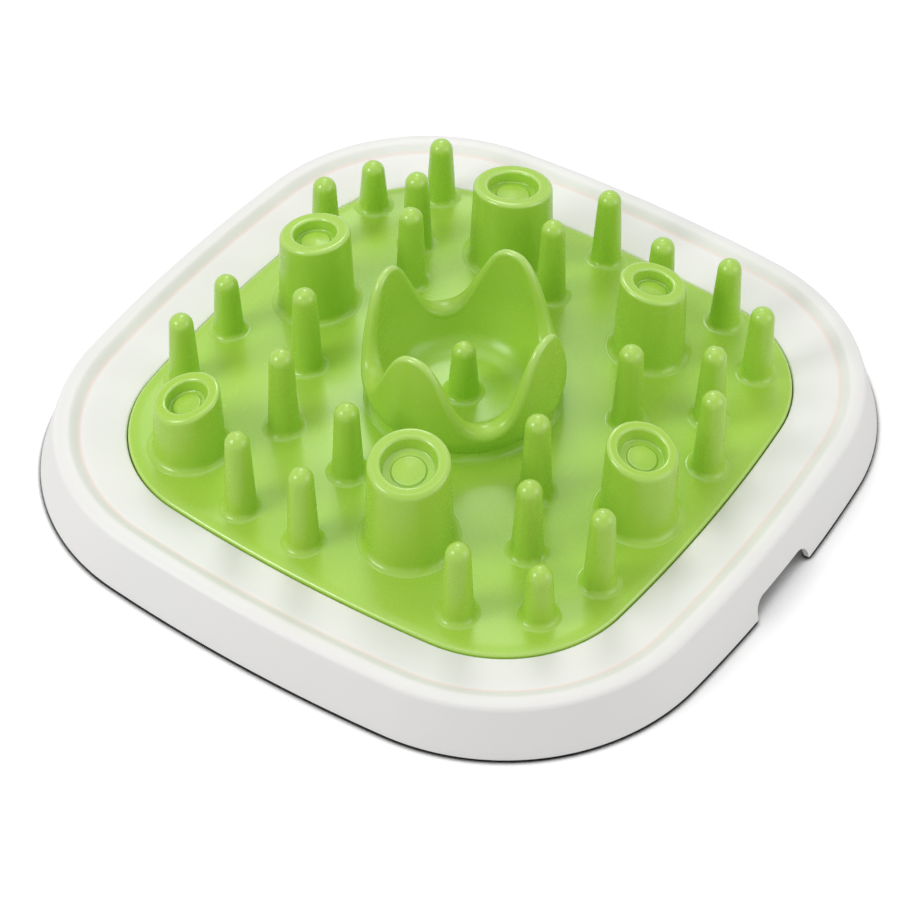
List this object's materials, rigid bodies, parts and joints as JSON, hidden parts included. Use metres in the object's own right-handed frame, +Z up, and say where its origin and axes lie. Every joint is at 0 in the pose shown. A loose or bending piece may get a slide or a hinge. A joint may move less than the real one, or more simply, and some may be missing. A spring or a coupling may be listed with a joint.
{
  "type": "slow feeder bowl",
  "caption": "Low square pet bowl with rounded corners whose lift-out insert has spikes, ring-topped stumps and a petalled crown that slow eating.",
  "frame": {"origin": "centre of the bowl, on the surface that its feet stand on", "axes": "+Z up; +X towards one of the two finger notches; +Y along the other pair of sides"},
  "size_m": [0.2994, 0.3, 0.0709],
  "materials": {
    "base_white": "white moulded plastic, satin gloss",
    "insert_green": "light green moulded plastic, glossy",
    "foot_rubber": "grey rubber, matt"
  },
  "bodies": {
    "base": {"base_frame": "base_white", "foot_1": "foot_rubber", "foot_2": "foot_rubber", "foot_3": "foot_rubber", "foot_4": "foot_rubber"},
    "insert": {"insert_plate": "insert_green", "insert_rim": "insert_green", "crown": "insert_green", "centre_spike": "insert_green", "stump_1": "insert_green", "stump_2": "insert_green", "stump_3": "insert_green", "stump_4": "insert_green", "stump_5": "insert_green", "stump_6": "insert_green", "spike_01": "insert_green", "spike_02": "insert_green", "spike_03": "insert_green", "spike_04": "insert_green", "spike_05": "insert_green", "spike_06": "insert_green", "spike_07": "insert_green", "spike_08": "insert_green", "spike_09": "insert_green", "spike_10": "insert_green", "spike_11": "insert_green", "spike_12": "insert_green", "spike_13": "insert_green", "spike_14": "insert_green", "spike_15": "insert_green", "spike_16": "insert_green", "spike_17": "insert_green", "spike_18": "insert_green", "spike_19": "insert_green", "spike_20": "insert_green", "spike_21": "insert_green", "spike_22": "insert_green", "spike_23": "insert_green", "spike_24": "insert_green", "spike_25": "insert_green"}
  },
  "joints": [
    {"name": "insert_lift", "type": "slide", "parent": "base", "child": "insert", "axis": [0, 0, 1], "range_m": [0, 0.05]}
  ]
}
